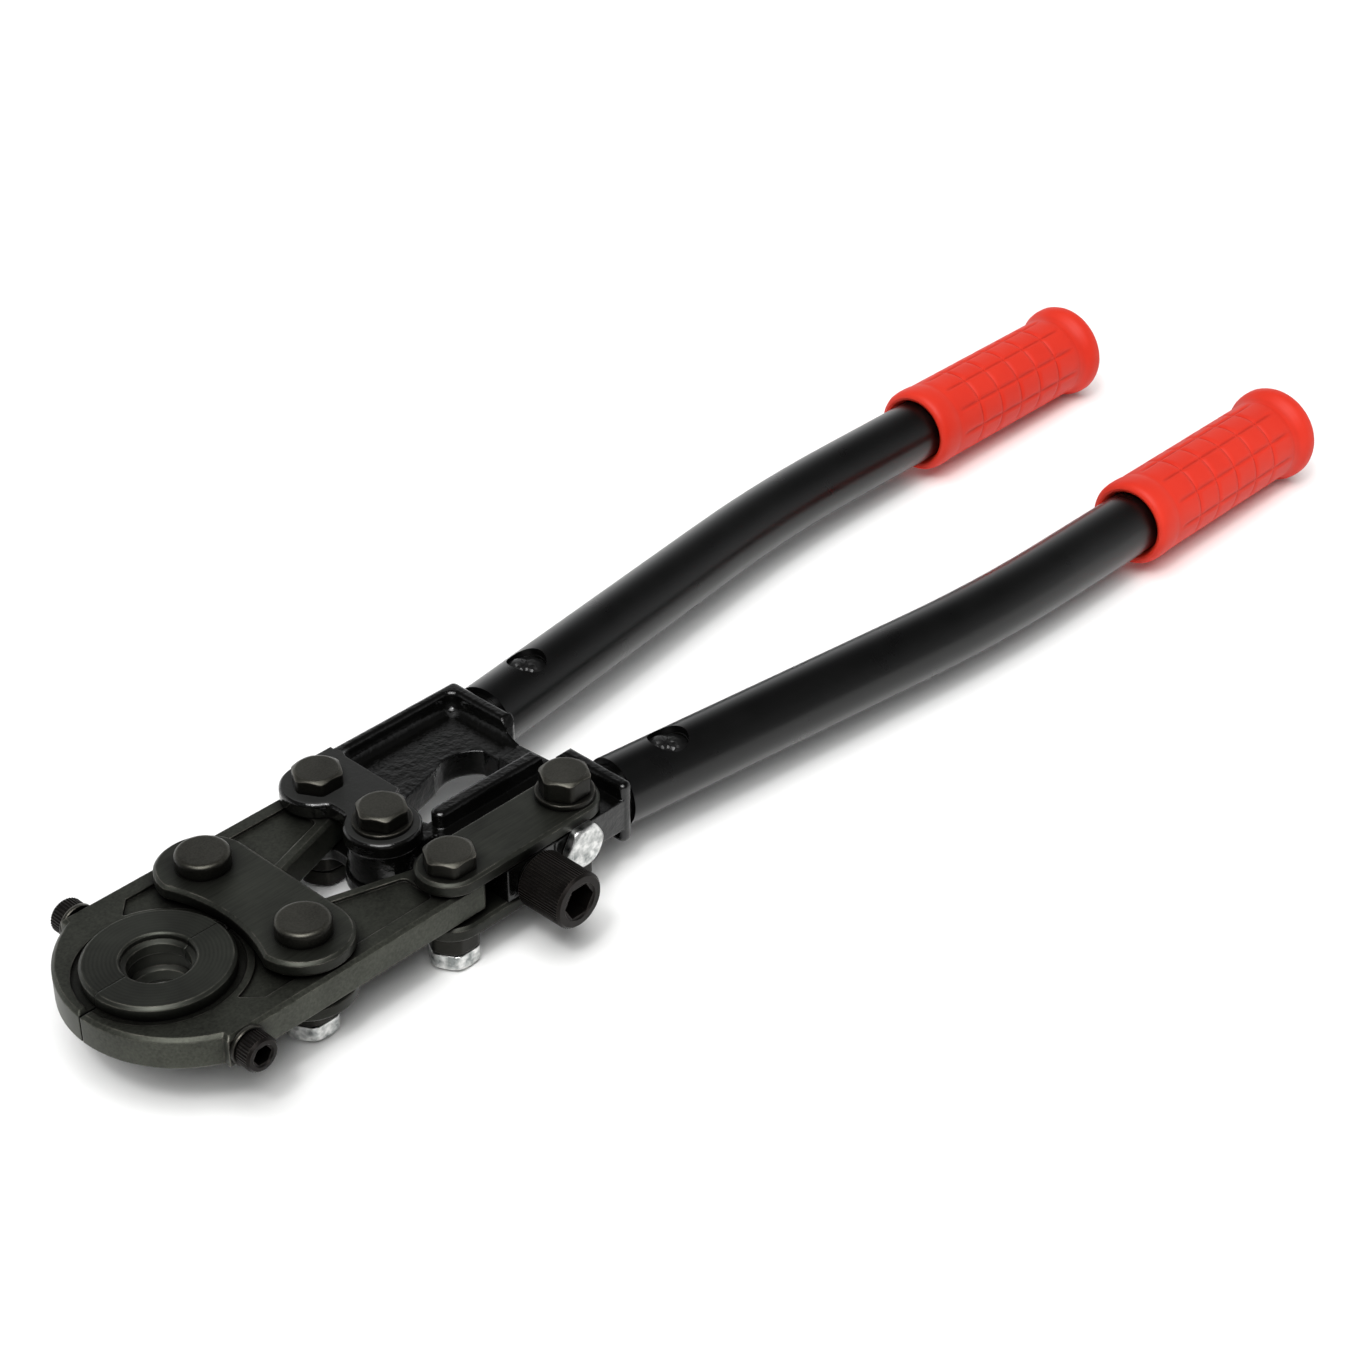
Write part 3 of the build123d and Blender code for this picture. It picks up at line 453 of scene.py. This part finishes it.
def place_piece(body, turn, place, name):
    """Turn a finished body by angles about X, Y and Z, move it to its place, and put both into its mesh."""
    bpy.ops.object.mode_set(mode="OBJECT")
    bpy.ops.object.shade_smooth_by_angle(angle=radians(SMOOTH_ANGLE))
    body.rotation_euler = turn
    body.location = place
    bpy.ops.object.transform_apply(location=True, rotation=True, scale=True)
    body.name = name
    return body


def copy_piece(body, name):
    """A copy with its own mesh."""
    twin = body.copy()
    twin.data = body.data.copy()
    twin.name = name
    bpy.context.scene.collection.objects.link(twin)
    return twin


def moulded_grip():
    """A grip along +X from its mouth at the origin: rounded collar, rows of low pads, flange, domed end."""
    low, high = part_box("right_grip")
    length = (high.x - low.x) / MM
    flange = (high.z - low.z) / 2 / MM
    pad_end = PAD_START + PAD_LENGTH * PADS
    pads = [
        (PAD_START + PAD_LENGTH * (k + share), GRIP_RADIUS) for k in range(PADS) for share in PAD_DIVISIONS
    ]
    stations = [
        (length - GRIP_CAP, GRIP_BORE), *GRIP_COLLAR, *pads, (pad_end, GRIP_RADIUS),
        *((pad_end + x, radius) for x, radius in GRIP_WAIST),
        *((pad_end + x, flange - step) for x, step in GRIP_FLANGE),
        *((length - x, flange - step) for x, step in GRIP_END),
    ]
    body = turned_body("grip", stations, GRIP_SEGMENTS)
    row_step = tau / PAD_ROWS

    def on_row(point):
        return turn_of(point, row_step)[1] * GRIP_RADIUS

    def on_ring(point):
        along = (point.x / MM - PAD_START) / PAD_LENGTH
        return abs(along - round(along)) * PAD_LENGTH

    def in_pads(point, margin):
        along = PAD_START - margin < point.x / MM < pad_end + margin
        return along and hypot(point.y, point.z) > GRIP_SKIN * MM

    def groove_distance(point):
        return min(on_row(point), on_ring(point) if in_pads(point, ENDS_OUT) else PAD_LENGTH)

    mesh = bmesh.from_edit_mesh(body.data)
    for edge in mesh.edges:
        middle = (edge.verts[0].co + edge.verts[1].co) / 2
        whole = all(in_pads(vert.co, ENDS_IN) for vert in edge.verts)
        lengthwise = abs(edge.verts[0].co.x - edge.verts[1].co.x) > MM
        row = lengthwise and on_row(middle) < ON_LINE
        ring = not lengthwise and on_ring(middle) < ON_LINE and in_pads(middle, ENDS_OUT)
        edge.select_set(whole and (row or ring))
    bmesh.update_edit_mesh(body.data)
    bpy.ops.mesh.bevel(offset=GROOVE_HALF_WIDTH * MM, segments=4, profile=0.5, affect="EDGES")
    for near, far, depth in GROOVE_BANDS:
        select_points(body, lambda p: in_pads(p, ENDS_HELD) and near < groove_distance(p) <= far)
        sink_points(depth, GRIP_RADIUS)
    return body


def shank(radius, length):
    """Stations of a screw's shank with a chamfered tip."""
    return [(0, radius - SHANK_CHAMFER), (SHANK_CHAMFER, radius), (length, radius)]


def cap_screw(stations, head, radius, key, key_depth):
    """A socket screw along +X: shank stations, then a knurled head with a hex socket in its far end."""
    start = stations[-1][0]
    end = start + head
    corner = key / sqrt(3)
    head_stations = [
        (start, radius - HEAD_CHAMFER / 2), (start + HEAD_CHAMFER / 2, radius),
        (end - HEAD_CHAMFER, radius), (end, radius - HEAD_CHAMFER),
        (end, corner + SOCKET_MARGIN), (end - SOCKET_SINK, corner + SOCKET_LIP),
    ]
    ridges = round(tau * radius / KNURL_PITCH)
    body = turned_body("screw", stations + head_stations, 2 * ridges)
    step = pi / ridges
    select_points(body, lambda p: hypot(p.y, p.z) > (radius - KNURL_SKIN) * MM and turn_of(p, step)[0] % 2)
    sink_points(KNURL_DEPTH, radius)
    bpy.ops.object.mode_set(mode="OBJECT")
    deselect_all()
    bpy.ops.mesh.primitive_cylinder_add(
        vertices=6, radius=corner * MM, depth=2 * key_depth * MM, location=(end * MM, 0, 0),
        rotation=(0, pi / 2, 0),
    )
    cutter = bpy.context.object
    deselect_all()
    body.select_set(True)
    bpy.context.view_layer.objects.active = body
    cut = body.modifiers.new("socket", "BOOLEAN")
    cut.object = cutter
    cut.solver = "EXACT"
    bpy.ops.object.modifier_apply(modifier=cut.name)
    bpy.data.objects.remove(cutter)
    return body


def die_screw(side):
    """One die screw, its axis square to the tool, its head outwards."""
    low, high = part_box(f"{side}_die_screw")
    length = (high.y - low.y) / MM
    head_radius = (high.z - low.z) / 2 / MM
    stations = shank(DIE_SCREW_SHANK, length - DIE_SCREW_HEAD)
    body = cap_screw(stations, DIE_SCREW_HEAD, head_radius, DIE_SCREW_KEY, DIE_SCREW_KEY_DEPTH)
    if side == "right":
        return place_piece(body, (0, 0, pi / 2), (0, low.y, 0), "right_die_cap_screw")
    return place_piece(body, (0, 0, -pi / 2), (0, high.y, 0), "left_die_cap_screw")


def adjusting_cap_screw():
    """The adjusting screw: threaded shank in its block, a neck, and a tall knurled head outwards."""
    low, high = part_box("adjusting_screw")
    length = (high.y - low.y) / MM
    head_radius = (high.z - low.z) / 2 / MM
    start = length - ADJUSTER_HEAD
    neck = start - ADJUSTER_NECK
    stations = shank(ADJUSTER_SHANK, neck) + [(neck, ADJUSTER_NECK_RADIUS), (start, ADJUSTER_NECK_RADIUS)]
    body = cap_screw(stations, ADJUSTER_HEAD, head_radius, ADJUSTER_KEY, ADJUSTER_KEY_DEPTH)
    return place_piece(body, (0, 0, -pi / 2), ((low.x + high.x) / 2, high.y, 0), "adjusting_cap_screw")


def plug_weld(side):
    """A plug weld through a tube: two domed ends with lumps, along +X and then stood upright."""
    low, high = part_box(f"{side}_tube_pin")
    radius = (high.x - low.x) / 2 / MM
    half = (high.z - low.z) / 2 / MM
    rings = [WELD_STEP * k for k in range(1, round(radius / WELD_STEP) + 1)]
    end = [(half - WELD_DOME * (r / radius) ** 2, r) for r in rings]
    body = turned_body("weld", [(-x, r) for x, r in end] + end[::-1], WELD_SEGMENTS)
    for turn, away, lift in WELD_LUMPS:
        middle = Vector((0, away * cos(radians(turn)), away * sin(radians(turn)))) * MM
        for facing in (1, -1):
            for reach in WELD_REACHES:
                select_points(body, lambda p: (
                    p.x * facing > WELD_END_START * MM
                    and (Vector((0, p.y, p.z)) - middle).length < reach * MM
                ))
                bpy.ops.transform.translate(value=(facing * lift / 2 * MM, 0, 0))
    centre = (low + high) / 2
    return place_piece(body, (0, -pi / 2, 0), centre, f"{side}_plug_weld")


def finish_piece(piece, body, replaced, material):
    """Give a piece its material, attach it to the body it rides on, and hide the CAD part it stands for."""
    piece.data.materials.clear()
    piece.data.materials.append(material)
    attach(piece, body)
    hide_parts(replaced)


def pale_floor():
    """A pale floor through what the tool lies on: the rear lock nuts and the rims of the grips."""
    nut_low, nut_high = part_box("left_lock_nuts")
    rim_low, rim_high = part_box("right_grip")
    slope = (rim_low.z - nut_low.z) / (rim_high.x - nut_high.x)
    deselect_all()
    bpy.ops.mesh.primitive_plane_add(
        size=FLOOR_SIDE, location=(nut_high.x, 0, nut_low.z), rotation=(0, -slope, 0)
    )
    floor = bpy.context.object
    floor.name = "floor"
    made, tree = new_tree("pale_matt_floor")[:2]
    close_tree(tree, {"Base Color": linear("#f9f9f8"), "Roughness": 0.9})
    floor.data.materials.append(made)


def view_back(azimuth, elevation):
    """Direction from the tool towards a place at this azimuth and elevation."""
    a, e = radians(azimuth), radians(elevation)
    return Vector((sin(a) * cos(e), -cos(a) * cos(e), sin(e)))


def light(name, kind, azimuth, elevation, energy, **settings):
    """A studio light that faces the middle of the tool."""
    lamp = bpy.data.lights.new(name, kind)
    lamp.energy = energy
    for setting, value in settings.items():
        setattr(lamp, setting, value)
    holder = bpy.data.objects.new(name, lamp)
    bpy.context.scene.collection.objects.link(holder)
    back = view_back(azimuth, elevation)
    holder.location = Vector(CAMERA_TARGET) * MM + back * LIGHT_DISTANCE
    holder.rotation_mode = "QUATERNION"
    holder.rotation_quaternion = (-back).to_track_quat("-Z", "Y")


def studio_backdrop():
    """A dim room with a white wall behind the tool, brightest at its foot.
    The camera itself sees plain white, so that the floor has hardly any edge."""
    world = bpy.data.worlds.new("studio")
    world.use_nodes = True
    tree = world.node_tree
    tree.nodes.clear()
    way = node(tree, "ShaderNodeTexCoord").outputs["Generated"]
    height = node(tree, "ShaderNodeSeparateXYZ", {"Vector": way}).outputs["Z"]
    facing = {0: way, 1: view_back(WALL_AZIMUTH, 0)}
    behind = node(tree, "ShaderNodeVectorMath", facing, operation="DOT_PRODUCT").outputs["Value"]
    share = {"Value": behind, "From Min": WALL_EDGE, "From Max": WALL_MIDDLE}
    front = {"Value": height, "From Max": ROOM_FADE, "To Min": ROOM_FOOT, "To Max": ROOM_TOP}
    back = {"Value": height, "From Max": WALL_FADE, "To Min": WALL_FOOT, "To Max": ROOM_TOP}
    strength = node(tree, "ShaderNodeMapRange", {
        "Value": node(tree, "ShaderNodeMapRange", share).outputs["Result"],
        "To Min": node(tree, "ShaderNodeMapRange", front).outputs["Result"],
        "To Max": node(tree, "ShaderNodeMapRange", back).outputs["Result"],
    }).outputs["Result"]
    room = node(tree, "ShaderNodeBackground", {"Color": linear("#f4f5f6"), "Strength": strength})
    plain = node(tree, "ShaderNodeBackground", {"Color": linear("#ffffff"), "Strength": 1.0})
    seen = node(tree, "ShaderNodeLightPath").outputs["Is Camera Ray"]
    sights = {0: seen, 1: room.outputs["Background"], 2: plain.outputs["Background"]}
    both = node(tree, "ShaderNodeMixShader", sights)
    node(tree, "ShaderNodeOutputWorld", {"Surface": both.outputs["Shader"]})
    bpy.context.scene.world = world


def photo_camera():
    """The camera at the photograph's viewing angle."""
    lens = bpy.data.cameras.new("photo_camera")
    lens.sensor_width = SENSOR_MM
    lens.lens = SENSOR_MM * FOCAL_PIXELS / IMAGE_SIDE
    holder = bpy.data.objects.new("photo_camera", lens)
    bpy.context.scene.collection.objects.link(holder)
    back = view_back(CAMERA_AZIMUTH, CAMERA_ELEVATION)
    holder.location = (Vector(CAMERA_TARGET) + back * CAMERA_DISTANCE) * MM
    holder.rotation_mode = "QUATERNION"
    roll = Quaternion((0, 0, 1), radians(CAMERA_ROLL))
    holder.rotation_quaternion = (-back).to_track_quat("-Z", "Y") @ roll
    bpy.context.scene.camera = holder


# Finishes
# drop forging, shot-blasted and blackened: dull olive-grey with a fine grain
forged = oxide_steel(
    "black_oxide_forged_steel", "#2f302b", "#4f5149", "#7d7a72", forged_grain,
    mottle=1.0, roughness=(0.38, 0.52), relief=0.35, edge_radius=0.9, split=True,
)
# turned tool steel, blackened: the same grey over faint rings
turned = oxide_steel(
    "black_oxide_turned_steel", "#2d2e2a", "#42443e", "#7d7a72", lathe_rings,
    mottle=0.12, roughness=(0.38, 0.48), relief=0.1, edge_radius=0.8, split=True,
)
# plate ground along its length and blackened: dull grey with straight marks, with painted shade on its
# upright faces
ground = oxide_steel(
    "black_oxide_ground_plate", "#2c2d29", "#484a43", "#8a867e", grinding_marks,
    mottle=0.7, roughness=(0.36, 0.5), relief=0.2, edge_radius=1.0, upright=0.6,
)
# cold-headed bolts blackened in oil: olive-grey satin like the plates, with rubbed edges and painted shade on
# upright faces
fastener = oxide_steel(
    "black_oxide_fastener_steel", "#363530", "#55544d", "#7d7971", bolt_grain,
    mottle=0.8, roughness=(0.32, 0.44), relief=0.2, edge_radius=1.1, upright=0.8,
)
# turned screws: blacker and more brown than the bolts
screw_steel = oxide_steel(
    "black_oxide_screw_steel", "#100e0d", "#221e1c", "#5b5751", bolt_grain,
    mottle=0.8, roughness=(0.34, 0.5), relief=0.25, edge_radius=0.2,
)
# the left head and the adjuster's block lie behind x = 0, so that none of their faces is machined
casting = cast_black_paint("gloss_black_paint_on_casting", cheek_end=0.0)
fork_casting = cast_black_paint("gloss_black_paint_and_machined_casting", cheek_end=CHEEK_END)
enamel = tube_black_enamel()
weld = weld_steel()
zinc = bright_zinc()
red = moulded_red()

NODE_FINISHES = {
    "right_jaw": forged, "left_jaw": forged,
    "right_die": turned, "left_die": turned, "right_die_washer": fastener, "left_die_washer": fastener,
    "upper_bridge_plate": ground, "lower_bridge_plate": ground,
    "upper_link_plate": ground, "lower_link_plate": ground,
    "bridge_pins": fastener, "bridge_nuts": fastener, "bridge_lock_nuts": zinc,
    "right_tail_bolt": fastener, "left_tail_bolt": fastener, "centre_bolt": fastener, "link_bolt": fastener,
    "centre_washer": fastener, "link_washer": fastener,
    "right_nuts": fastener, "left_nuts": fastener, "right_lock_nuts": fastener, "left_lock_nuts": zinc,
    "right_handle_head": fork_casting, "left_handle_head": casting,
    "adjusting_block": casting, "lock_bolt": zinc,
    "right_tube": enamel, "left_tube": enamel,
}
for name, finish in NODE_FINISHES.items():
    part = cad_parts[name]
    part.data.materials.clear()
    part.data.materials.append(finish)

# Grips
grip_low, grip_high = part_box("right_grip")
grip_y = (grip_low.y + grip_high.y) / 2
right_grip = place_piece(moulded_grip(), (0, 0, 0), (grip_low.x, grip_y, 0), "right_moulded_grip")
left_grip = copy_piece(right_grip, "left_moulded_grip")
for vert in left_grip.data.vertices:
    vert.co.y -= 2 * grip_y
finish_piece(right_grip, "right_handle", "right_grip", red)
finish_piece(left_grip, "left_handle", "left_grip", red)

# Screws
finish_piece(die_screw("right"), "right_jaw", "right_die_screw", screw_steel)
finish_piece(die_screw("left"), "left_jaw", "left_die_screw", screw_steel)
finish_piece(adjusting_cap_screw(), "adjusting_screw", "adjusting_screw", screw_steel)

# Plug welds
finish_piece(plug_weld("right"), "right_handle", "right_tube_pin", weld)
finish_piece(plug_weld("left"), "left_handle", "left_tube_pin", weld)

# Floor, lights, room and camera
pale_floor()
# a broad even light from above the camera's side, and a small one for crisp glints
light("overhead_light", "SUN", azimuth=-50, elevation=64, energy=3.2, angle=radians(48))
light("key_softbox", "AREA", azimuth=-62, elevation=55, energy=17, size=0.36)
studio_backdrop()
bpy.context.scene.view_settings.view_transform = "Standard"
photo_camera()
